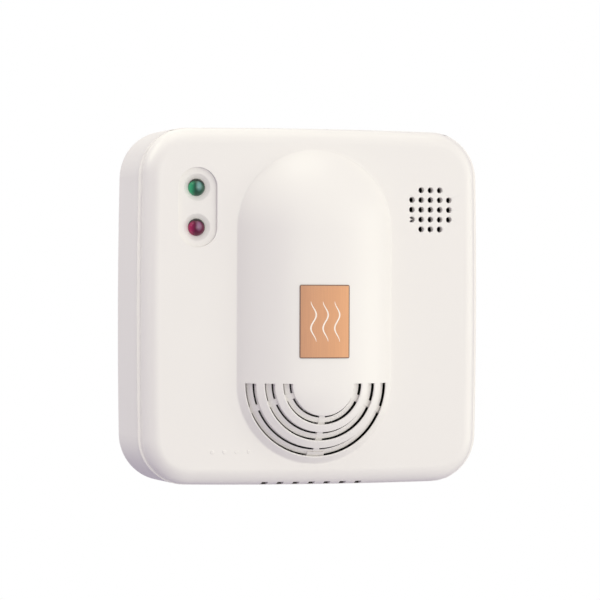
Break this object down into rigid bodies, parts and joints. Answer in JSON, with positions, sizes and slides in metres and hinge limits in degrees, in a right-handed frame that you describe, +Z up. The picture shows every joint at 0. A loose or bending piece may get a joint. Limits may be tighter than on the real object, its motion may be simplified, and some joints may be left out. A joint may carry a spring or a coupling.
{
  "type": "gas detector",
  "caption": "Wall-mounted gas alarm: rounded square case with a domed and slotted sensor housing, status lamps, a sounder grille and a rear cable entry.",
  "frame": {"origin": "centre of the flat back face, on the wall plane", "axes": "+X to the right seen from the front, +Y into the wall (the front faces -Y), +Z up"},
  "size_m": [0.102, 0.0386, 0.102],
  "materials": {
    "cover_plastic": "fine moulded satin",
    "rear_plastic": "fine moulded satin",
    "screw_steel": "zinc plated",
    "board_laminate": "solder resist",
    "sensor_resin": "moulded resin",
    "sensor_steel": "pressed mesh",
    "element_ceramic": "unglazed",
    "tinned_pins": "tinned",
    "black_plastic": "moulded",
    "gasket_foam": "closed-cell foam",
    "green_lens": "clear tinted epoxy",
    "red_lens": "clear tinted epoxy",
    "core_steel": "stacked laminations",
    "bobbin_plastic": "moulded nylon",
    "winding_copper": "enamelled wire",
    "capacitor_sleeve": "shrunk sleeve",
    "trimmer_plastic": "moulded",
    "varistor_coating": "dipped epoxy",
    "resistor_coating": "baked lacquer",
    "terminal_plastic": "moulded",
    "label_foil": "brushed copper-toned foil"
  },
  "bodies": {
    "root": {"front_cover": "cover_plastic", "rear_case": "rear_plastic", "case_screws": "screw_steel", "circuit_board": "board_laminate", "board_screws": "screw_steel", "sensor_base": "sensor_resin", "sensor_mesh_cap": "sensor_steel", "sensor_clamp_ring": "sensor_steel", "sensor_element": "element_ceramic", "sensor_pins": "tinned_pins", "sounder_case": "black_plastic", "sounder_gasket": "gasket_foam", "sounder_pins": "tinned_pins", "green_lamp": "green_lens", "green_lamp_leads": "tinned_pins", "red_lamp": "red_lens", "red_lamp_leads": "tinned_pins", "lamp_spacers": "black_plastic", "transformer_core": "core_steel", "transformer_bobbin": "bobbin_plastic", "transformer_winding": "winding_copper", "transformer_pins": "tinned_pins", "filter_capacitors": "capacitor_sleeve", "capacitor_leads": "tinned_pins", "microcontroller": "black_plastic", "bridge_rectifier": "black_plastic", "voltage_regulator": "black_plastic", "alarm_level_trimmer": "trimmer_plastic", "mains_fuse": "black_plastic", "surge_varistor": "varistor_coating", "resistors": "resistor_coating", "terminal_block": "terminal_plastic", "terminal_screws": "screw_steel", "terminal_pins": "tinned_pins", "front_label": "label_foil"}
  },
  "joints": []
}
